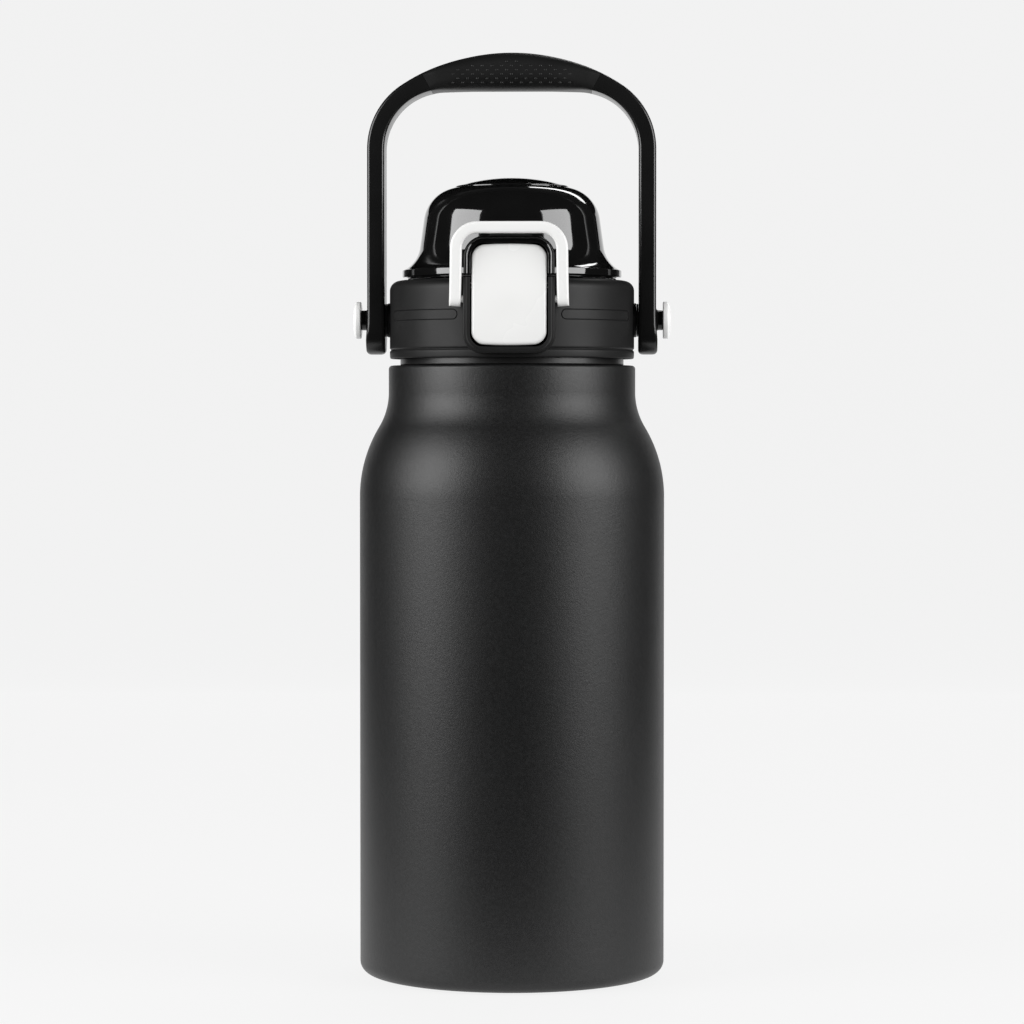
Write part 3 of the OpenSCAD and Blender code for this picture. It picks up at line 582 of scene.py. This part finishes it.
def buildCover():
    rim, wall = cover["rimR"], cover["wall"]
    creaseZ = crownZ - 3.4
    outer = bellLine(0, rim - 0.35, creaseZ)
    inner = bellLine(wall, rim - 2.8, insertZ - wall)
    skirt = coverZ - 0.7
    line = (rounded([(rim - 2.8, skirt + 0.3), (rim - 2.8, skirt), (rim - 1.8, skirt), (rim - 1.8, coverZ),
                     (rim, coverZ), (rim, outer[0][1] - 0.1), outer[0]], 0.35, 4)
            + outer[1:-1]
            + rounded([outer[-1], (cover["creaseR"], creaseZ - 0.45), (cover["creaseR"], insertZ)], 0.3, 4)
            + [(cover["creaseR"] - 0.2, insertZ), (0, insertZ), (0, insertZ - wall)] + inner[::-1])
    shell = lathe("coverShell", line, 256)
    hoodTop = buttonTop + cover["hoodTop"]
    hood = frameSweep("hood", uPath(front["pocketX"] - 0.1, coverZ, hoodTop, cover["hoodCorner"], True), -26)
    solid = [(0, skirt - 2), (rim - 1.2, skirt - 2)] + bellLine(1.0, rim - 1.2, crownZ - 8) \
        + [(0, crownZ - 8)]
    cut(hood, lathe("bellSolid", solid, 128))
    catch = prism("catch", [(-6, 241.5), (6, 241.5), (6, 243.5), (-6, 243.5)], -36.5, -32.8, "y", 0.25)
    leafTop, armY = coverZ + 3, hingeY - 3.0
    knuckle = arc(hingeY, hingeZ, 3.2, 180, 360, 18)
    topEdge = arc(hingeY - 1.3, leafTop - 4.5, 4.5, 0, 90, 10)
    arms = [prism("leafArm", [(rim - 2.4, coverZ), (armY, coverZ), (armY, hingeZ)] + knuckle + topEdge
                  + [(rim - 2.4, leafTop)], x0, x0 + 4.2, "x", 0.5) for x0 in (-9.0, 4.8)]
    webLine = [(rim - 2.4, coverZ), (armY + 1.2, coverZ), (armY + 1.2, hingeZ + 8),
               (hingeY + 3.2, hingeZ + 8)] + topEdge + [(rim - 2.4, leafTop)]
    web = prism("leafWeb", webLine, -5.0, 5.0, "x", 0.35)
    return join(shell, hood, catch, *arms, web)


def buildCrown():
    r = span("crown_insert", 0)[1]
    centre = crownZ - cover["crownR"]
    edge = math.degrees(math.acos((r - 0.3) / cover["crownR"]))
    top = arc(0, centre, cover["crownR"], edge, 90, 16)
    return lathe("crownDisc", [(0, insertZ), (r, insertZ)]
                 + rounded([(r, insertZ + 0.3), (r, top[0][1]), top[1]], 0.4)[1:]
                 + top[2:-1] + [(0, crownZ)], 256)


settle(buildCover(), "cover", "dome_gloss", glossBlack("coverGloss", 0.055), "dome_cover", "cover_hood")
settle(buildCrown(), "cover", "crown_gloss", glossBlack("crownGloss", 0.07), "crown_insert")
print("cover built")

# ---- button: a softly crowned rocker with bowed ends and a plain thumb hollow ----

button = dict(bow=0.55, edge=1.15, hollow=0.35, hollowR=8.5, hollowUp=8.5, thick=2.6, corner=4.2)


def bowedBox(halfW, z0, z1, corner, bow, n=10):    # rounded outline with bowed ends, all points evenly placed
    out = []
    for cx, cz, a in ((halfW - corner, z0 + corner, -90), (halfW - corner, z1 - corner, 0),
                      (-halfW + corner, z1 - corner, 90), (-halfW + corner, z0 + corner, 180)):
        turn = arc(cx, cz, corner, a, a + 90, n)
        nextX = {-90: (halfW, z1 - corner), 0: (-halfW + corner, z1), 90: (-halfW, z0 + corner),
                 180: (halfW - corner, z0)}[a]
        out += turn + [tuple(Vector(turn[-1]).lerp(Vector(nextX), k / 18)) for k in range(1, 18)]
    mid = (z0 + z1) / 2
    return [(x, z - math.copysign(bow, z - mid) * (x / halfW) ** 2 * min(1, abs(z - mid) / ((z1 - z0) / 2)))
            for x, z in out]


def buildButton():
    halfW = span("release_button", 0)[1]
    z0, z1 = span("release_button", 2)
    midZ, edge, thick = (z0 + z1) / 2, button["edge"], button["thick"]
    hollowZ = z0 + button["hollowUp"] + 1

    def front_(x, z):
        away = math.hypot(x, z - hollowZ) / button["hollowR"]
        dip = button["hollow"] * (1 + math.cos(math.pi * min(1, away))) / 2
        crown = 0.35 * (x / halfW) ** 2
        return faceY(z) + dip + crown + 0.05

    rings = []
    for y in (thick, edge + 0.6):    # side wall, back to front
        line = bowedBox(halfW, z0, z1, button["corner"], button["bow"])
        rings.append([(x, faceY(z) + y + 0.4, z) for x, z in line])
    for k in range(0, 7):    # rounded edge
        t = math.radians(15 * k)
        inset, deep = edge * (1 - math.cos(t)), edge * (1 - math.sin(t))
        line = bowedBox(halfW - inset, z0 + inset, z1 - inset, button["corner"] - inset * 0.7, button["bow"])
        rings.append([(x, front_(x, z) + deep, z) for x, z in line])
    for k in range(1, 44):
        s = 1 - k / 44
        rings.append([(x * s, front_(x * s, midZ + (z - midZ) * s), midZ + (z - midZ) * s) for x, z in line])
    plate = stack("releaseButton", rings)
    reach = halfW - edge - 0.2
    boss = lathe("boss", [(0, 0)] + rounded([(1.2, 0), (1.95, 0), (1.95, 2 * reach), (1.2, 2 * reach)], 0.2)
                 + [(0, 2 * reach)], 32)
    for v in boss.data.vertices:
        x, y, z = v.co
        v.co = (z - reach * mm, -40.3 * mm + y, 234.0 * mm + x)
    hook = prism("hook", [(-5, 244), (5, 244), (5, 246), (-5, 246)], faceY(245) + 1, -37.0, "y", 0.25)
    return join(plate, boss, hook)


settle(buildButton(), "button", "button_white", whitePlastic("buttonWhite"), "release_button", angle=50)
print("button built")

# ---- lock ring: a rounded bar bent over the hood, with round feet and studs ----

lock = dict(inner=15.6, width=3.9, depth=4.2, corner=7.0, splay=0.35, edge=0.9)
ringPivotY, ringPivotZ = -41.6, 229.5


def roundedSection(w, d, r, n=5):    # rounded rectangle, w across and d deep
    r = min(r, w / 2 * 0.98, d / 2 * 0.98)
    out = []
    for cx, cy, a in ((w / 2 - r, -d / 2 + r, -90), (w / 2 - r, d / 2 - r, 0), (-w / 2 + r, d / 2 - r, 90),
                      (-w / 2 + r, -d / 2 + r, 180)):
        out += arc(cx, cy, r, a, a + 90, n)
    return out


def buildLock():
    top = span("lock_ring", 2)[1]
    low = span("lock_ring", 2)[0]
    mid, w = lock["inner"] + lock["width"] / 2, lock["width"]
    corner = lock["corner"]
    topMid = top - w / 2 - 0.02
    legTop = topMid - corner - low
    half = [(mid + lock["splay"] * (1 - k / 10), low + legTop * (k / 10) ** 1.6) for k in range(10)]
    half += arc(mid - corner, topMid - corner, corner, 0, 90, 14)
    flat = [((mid - corner) * (1 - k / 8), topMid) for k in range(1, 16)]
    path = half + flat + [(-x, z) for x, z in half[::-1]]
    rings = []
    for i, (x, z) in enumerate(path):
        ahead, behind = path[min(i + 1, len(path) - 1)], path[max(i - 1, 0)]
        along = Vector((ahead[0] - behind[0], ahead[1] - behind[1])).normalized()
        outward = Vector((along[1], -along[0]))
        below = max(0, ringPivotZ - z)
        depth = min(lock["depth"], 2 * math.sqrt(max(0.2, 2.4 ** 2 - below ** 2)))
        shift = 0.1 * min(1, max(0, (z - ringPivotZ) / 20))
        rings.append([(x + outward[0] * n, ringPivotY + shift + y, z + outward[1] * n)
                      for n, y in roundedSection(w, depth, lock["edge"])])
    bar = stack("lockRing", rings)
    studs = []
    for s in (-1, 1):
        stud = lathe("stud", [(0, 0), (1.2, 0), (1.2, 3.4), (0, 3.4)], 32)
        for v in stud.data.vertices:
            x, y, z = v.co
            v.co = (s * (13.2 * mm + z), ringPivotY * mm + y, ringPivotZ * mm + x)
        studs.append(stud)
    return join(bar, *studs)


settle(buildLock(), "ring", "ring_white", whitePlastic("ringWhite", 0.79, 0.28), "lock_ring", angle=40)
print("lock ring built")

# ---- handle: a bent band with rounded edges, a soft grip with raised dots, hubs and caps ----

handle = dict(cornerR=26, archR=68.4, arm=5.9, armDepth=16, gripDepth=17, gripX=31, armEdge=1.1, gripEdge=5.6,
              footR=8, footEdge=1.5, flare=0.5, dotPitch=3.3, dotR=0.42, dotRise=0.16, rowPitch=1.42,
              fieldX=20)
pivotZ = (span("pivot_cap_right", 2)[0] + span("pivot_cap_right", 2)[1]) / 2
handleTop = span("grip_pad", 2)[1]
footEnd = span("handle_bail", 2)[0]
armOut = 49.1


def handleStations():    # pairs of points on the outer and inner outline, from the right foot to the left
    r, big, t = handle["cornerR"], handle["archR"], handle["arm"]
    cx = armOut - r
    archZ = handleTop - big
    cz = archZ + math.sqrt((big - r) ** 2 - cx ** 2)
    turn = math.degrees(math.atan2(cz - archZ, cx))
    steps = [footEnd + (cz - footEnd) * (k / 28) ** 1.0 for k in range(28)]
    pairs = []
    for z in steps:
        out = handle["flare"] * min(1, max(0, (pivotZ + 1 - z) / 7)) ** 2
        pairs.append(((armOut + out, z), (armOut - t - 0.3 * out, z)))
    pairs += list(zip(arc(cx, cz, r, 0, turn, 22), arc(cx, cz, r - t, 0, turn, 22)))
    outer = arc(0, archZ, big, turn, 90, 30)[1:]
    x0 = cx + (r - t) * math.cos(math.radians(turn))
    for k, point in enumerate(outer):
        x = x0 * (1 - (k + 1) / 30)
        z = cz + math.sqrt(max(0, (r - t) ** 2 - max(0, x - cx) ** 2))
        pairs.append((point, (x, z)))
    left = [((-a[0], a[1]), (-b[0], b[1])) for a, b in pairs[:-1][::-1]]
    return pairs + left


def bandRing(outer, inner, depth, outerEdge, innerEdge, n=7):    # one section, softer inside for the hand
    o, i = Vector(outer), Vector(inner)
    w = (o - i).length
    up = (o - i) / w
    mid = (o + i) / 2
    ring = []
    for sx, sy, a, r in ((1, -1, -90, outerEdge), (1, 1, 0, outerEdge),
                         (-1, 1, 90, innerEdge), (-1, -1, 180, innerEdge)):
        rx = min(r, w / 2 * 0.96)
        ry = min(r * 1.15, depth / 2 * 0.96)
        for k in range(n + 1):
            t = math.radians(a + 90 * k / n)
            cxx, cyy = sx * (w / 2 - rx), sy * (depth / 2 - ry)
            p = mid + up * (cxx + rx * math.cos(t))
            ring.append((p[0], cyy + ry * math.sin(t), p[1]))
    return ring


def footDepth(z):
    below = footEnd + handle["footR"] - z
    full = handle["armDepth"]
    return full if below <= 0 else max(1.0, 2 * math.sqrt(max(0, handle["footR"] ** 2 - below ** 2)))


def buildBail():
    pairs = handleStations()
    sides = []
    for s in (1, -1):
        chosen = [p for p in pairs if p[0][0] * s > handle["gripX"] - 1.5]
        chosen = chosen if s > 0 else chosen[::-1]
        (footOut, _), (footIn, _) = chosen[0]
        foot = []
        for h in (0, 0.1, 0.25, 0.45, 0.7, 1.0, 1.3, 1.6, 2.2):
            edge = handle["footEdge"]
            inset = edge - math.sqrt(max(0, edge ** 2 - max(0, edge - h) ** 2))
            foot.append(((footOut - s * inset, footEnd + 0.02 + h), (footIn + s * inset, footEnd + 0.02 + h)))
        chosen = foot + [p for p in chosen if p[0][1] > footEnd + 3]
        rings = [bandRing(o, i, footDepth(o[1]), min(handle["armEdge"], footDepth(o[1]) * 0.4),
                          min(handle["armEdge"], footDepth(o[1]) * 0.4)) for o, i in chosen]
        side = stack("bailSide", rings)
        hub = lathe("hub", [(0, 0)] + rounded([(3.0, 0), (5.2, 0), (3.4, 1.0), (3.4, 2.9), (2.6, 2.9)], 0.5)
                    + [(0, 2.9)], 64)
        for v in hub.data.vertices:
            x, y, z = v.co
            v.co = (s * ((armOut - 0.5) * mm + z), y, pivotZ * mm + x)
        sides += [side, hub]
    core = [bandRing(Vector(o).lerp(Vector(i), 0.2), Vector(i).lerp(Vector(o), 0.2), 10.4, 2, 2)
            for o, i in pairs if abs(o[0]) < handle["gripX"] + 0.5]
    return join(stack("carryHandle", core), *sides)


def buildGrip():
    gripX = handle["gripX"]
    pairs = [p for p in handleStations() if abs(p[0][0]) < gripX]
    rings = []
    for o, i in pairs:
        ease = min(1, (gripX - abs(o[0])) / 16)
        soft = handle["armEdge"] + (handle["gripEdge"] - handle["armEdge"]) * ease ** 0.7
        depth = handle["armDepth"] + (handle["gripDepth"] - handle["armDepth"]) * min(1, ease * 4)
        rings.append(bandRing(o, i, depth, soft * 0.75, soft))
    pad = stack("softGrip", rings)
    dots = []
    archZ = handleTop - handle["archR"]
    underZ = min(i[1] for o, i in pairs)
    pitch, field = handle["dotPitch"], handle["fieldX"]
    for row in range(6):
        for col in range(-7, 8):
            x = (col + 0.5 * (row % 2)) * pitch
            topZ = archZ + math.sqrt(handle["archR"] ** 2 - x ** 2)
            z = (handleTop + underZ) / 2 - 0.4 + (row - 2.5) * handle["rowPitch"]
            if abs(x) > field or z > topZ - 3.4 or z < underZ + 1.2:
                continue
            for s in (-1, 1):
                dots.append((x, s, z))
    points, faces = [], []
    for x, s, z in dots:    # low round pips on the flat front and back of the grip
        base = len(points)
        y = s * (handle["gripDepth"] / 2 - 0.02)
        for ringR, lift in ((1.0, -0.3), (1.0, 0.0), (0.8, 0.55), (0.45, 0.85)):
            for k in range(12):
                t = 2 * math.pi * k / 12
                points.append((x + handle["dotR"] * ringR * math.cos(t), y + s * handle["dotRise"] * lift,
                               z + handle["dotR"] * ringR * math.sin(t)))
        for level in range(3):
            for k in range(12):
                a, b = base + level * 12 + k, base + level * 12 + (k + 1) % 12
                faces.append((a, b, b + 12, a + 12))
        faces += [tuple(base + 36 + k for k in range(12)), tuple(base + k for k in range(11, -1, -1))]
    pips = meshObject("pips", points, faces)
    fixNormals(pips)
    return join(pad, pips)


def buildCap(s, name):
    x0, x1 = 51.5, span("pivot_cap_right", 0)[1]
    r, t = 6.3, x1 - x0
    rim = rounded([(2.5, 0), (r, 0), (r, t - 1.0), (r - 0.9, t - 0.45)], 0.4, 5)
    cap = lathe(name, [(0, -1.9), (2.5, -1.9)] + rim + [(r - 2.5, t - 0.16), (r - 4.5, t - 0.03), (0, t)], 96)
    for v in cap.data.vertices:
        x, y, z = v.co
        v.co = (s * (x0 * mm + z), y, pivotZ * mm + x)
    fixNormals(cap)
    return cap


bailPlastic = mouldedPlastic("bailPlastic", 0.0065, 0.24, 2600, 0.12, 0.00004, Specular_IOR_Level=0.5)
gripRubber = mouldedPlastic("gripRubber", 0.0075, 0.42, 2400, 0.3, 0.00006, Specular_IOR_Level=0.4)
settle(buildBail(), "handle", "bail_black", bailPlastic, "handle_bail", angle=40)
settle(buildGrip(), "handle", "grip_soft", gripRubber, "grip_pad", angle=40)
capWhite = whitePlastic("capWhite", 0.87, 0.22)
for s, side in ((-1, "left"), (1, "right")):
    settle(buildCap(s, "hubCap_" + side), "handle", "cap_white", capWhite, "pivot_cap_" + side, angle=45)
print("handle built")

# ---- lid core, spout, stopper and gasket ----

spoutAt = (0, -14)


def buildCore():
    low, top = span("thread_ring", 2)[0], span("lid_core", 2)[1]
    deck = mouthZ + 2.5
    innerR, outR, wellR = 35.5, 38.1, 33
    line = [(innerR, low + 0.4)] \
        + rounded([(innerR, low + 0.2), (innerR, low), (outR, low), (outR, low + 2)], 0.3) \
        + [(outR, top)] + rounded([(36, top), (wellR, top), (wellR, top - 2)], 0.4) + [(wellR, deck + 3)] \
        + [(0, deck + 3), (0, deck), (innerR, deck)]
    core = lathe("lidCore", line, 192)
    bore = lathe("bore", [(0, deck - 2), (10.05, deck - 2), (10.05, deck + 5), (0, deck + 5)], 96, spoutAt)
    cut(core, bore)
    return join(core, *[ridge("ridge", 35.8, 33.95, neckZ + 3, a) for a in (0, 180)])


def buildSpout():
    low, top = span("drinking_spout", 2)
    outR = span("drinking_spout", 0)[1]
    line = [(outR - 2, low), (outR - 1, low), (outR - 1, low + 3)] \
        + rounded([(outR, low + 3), (outR, low + 4), (outR - 0.5, low + 5.5), (outR - 0.5, top - 5),
                   (outR, top - 3.4), (outR, top), (outR - 2, top), (outR - 2, top - 6)], 0.9)
    return lathe("spout", line, 128, spoutAt)


def buildStopper():
    low, top = span("spout_stopper", 2)
    r = span("spout_stopper", 0)[1]
    line = [(0, low)] + rounded([(4, low), (5.5, low), (7, low + 1.5), (9.3, low + 1.7), (r, low + 1.5),
                                 (r, top), (r - 2, top)], 0.35) + [(0, top)]
    return lathe("stopper", line, 96, spoutAt)


def buildGasket():
    low, top = span("mouth_gasket", 2)
    r = span("mouth_gasket", 0)[1]
    line = [(r - 2, low), (r, low), (r, top), (r - 1.6, top), (r - 1.75, top - 0.6), (r - 1.9, top),
            (r - 3.5, top), (r - 3.5, low), (r - 2, low)]
    return lathe("mouthGasket", rounded(line, 0.3, 4), 160)


satinBlack = mouldedPlastic("satinBlack", 0.013, 0.36, Specular_IOR_Level=0.5)
softWhite = silicone("softWhite", (0.72, 0.71, 0.68), 0.42)
settle(buildCore(), "lid", "core_black", satinBlack, "lid_core", "thread_ring")
settle(buildSpout(), "lid", "spout_black", satinBlack, "drinking_spout")
settle(buildStopper(), "cover", "stopper_silicone", softWhite, "spout_stopper")
settle(buildGasket(), "gasket", "gasket_silicone", softWhite, "mouth_gasket")

# ---- pieces that keep their machined shape get their finish ----

finishes = dict(base_plate=bareSteel, vacuum_seal=steel("sealBead", 0.4, 0.45),
                getter_disc=steel("getter", 0.25, 0.6),
                hinge_pin=steel("pinSteel", 0.6, 0.2), button_pin=steel("buttonPin", 0.6, 0.2),
                hinge_spring=steel("springWire", 0.5, 0.26), button_spring=steel("buttonWire", 0.5, 0.26),
                pivot_pin_left=steel("rivetLeft", 0.6, 0.22), pivot_pin_right=steel("rivetRight", 0.6, 0.22),
                pivot_washer_left=satinBlack, pivot_washer_right=satinBlack,
                dome_liner=mouldedPlastic("linerPlastic", 0.014, 0.38))
for node, material in finishes.items():
    obj = bpy.data.objects[node]
    obj.data.materials.clear()
    obj.data.materials.append(material)
    finishMesh(obj, 35)
print("inside pieces finished")

# ---- studio: pale sweep, two side boxes and a strip behind; the air lights but doesn't mirror ----

studio = dict(floor=0.04, glow=0.85, near=0.24, far=1.05, reach=0.13, tableEnd=0.35, sweepR=0.4, back=1.6,
              high=0.62, air=0.42)


def flatSheet(name, points, faces, material):
    mesh = bpy.data.meshes.new(name)
    mesh.from_pydata(points, [], faces)
    obj = bpy.data.objects.new(name, mesh)
    bpy.context.scene.collection.objects.link(obj)
    mesh.materials.append(material)
    finishMesh(obj, 60)
    return obj


def paper(name, tone, glow):
    kit = Kit(name, Roughness=0.9, Emission_Strength=glow)
    mottle = kit.noise(3, 2.0)
    return kit.shade(Base_Color=kit.blend(mottle, tint(tone), tint(tone * 0.995)),
                     Emission_Color=kit.blend(mottle, tint(1.0), tint(0.99)))


def buildSweep():
    reach, r, back, end = studio["reach"], studio["sweepR"], studio["back"], studio["tableEnd"]
    near, far = studio["near"], studio["far"]
    line = [(-reach, 0), (end, 0), (back - r, 0)] + arc(back - r, r, r, -90, 0, 24)[1:] \
        + [(back, studio["high"])]
    widths = [near + (far - near) * (y + reach) / (back + reach) for y, z in line]
    points = [(side * w, y, z) for w, (y, z) in zip(widths, line) for side in (-1, 1)]
    faces = [(2 * i, 2 * i + 1, 2 * i + 3, 2 * i + 2) for i in range(len(line) - 1)]
    flatSheet("sweep", points, faces, paper("paper", studio["floor"], studio["glow"]))


def softbox(name, place, aim, width, height, power, roll):
    lamp = bpy.data.lights.new(name, "AREA")
    lamp.shape = "RECTANGLE"
    lamp.size, lamp.size_y, lamp.energy = width, height, power
    obj = bpy.data.objects.new(name, lamp)
    obj.location = place
    toward = (Vector(aim) - Vector(place)).to_track_quat("-Z", "Y")
    obj.rotation_euler = (toward @ Quaternion((0, 0, 1), math.radians(roll))).to_euler()
    bpy.context.scene.collection.objects.link(obj)


buildSweep()
boxes = dict(
    left=((-0.775, -0.395, 0.44), (0, 0, 0.25), 0.66, 0.62, 8.4, 0),
    right=((0.775, -0.395, 0.44), (0, 0, 0.25), 0.64, 0.62, 7.4, 0),
    strip=((0.40, 0.80, 0.96), (0, 0, 0.26), 0.7, 0.14, 1.6, 32))
for name, (place, aim, width, height, power, roll) in boxes.items():
    softbox(name, place, aim, width, height, power, roll)
world = bpy.data.worlds.new("studioAir")
world.use_nodes = True
world.node_tree.nodes["Background"].inputs["Color"].default_value = (1, 1, 1, 1)
world.node_tree.nodes["Background"].inputs["Strength"].default_value = studio["air"]
world.cycles_visibility.glossy = False
bpy.context.scene.world = world
bpy.context.scene.view_settings.view_transform = "Standard"
print("studio ready")
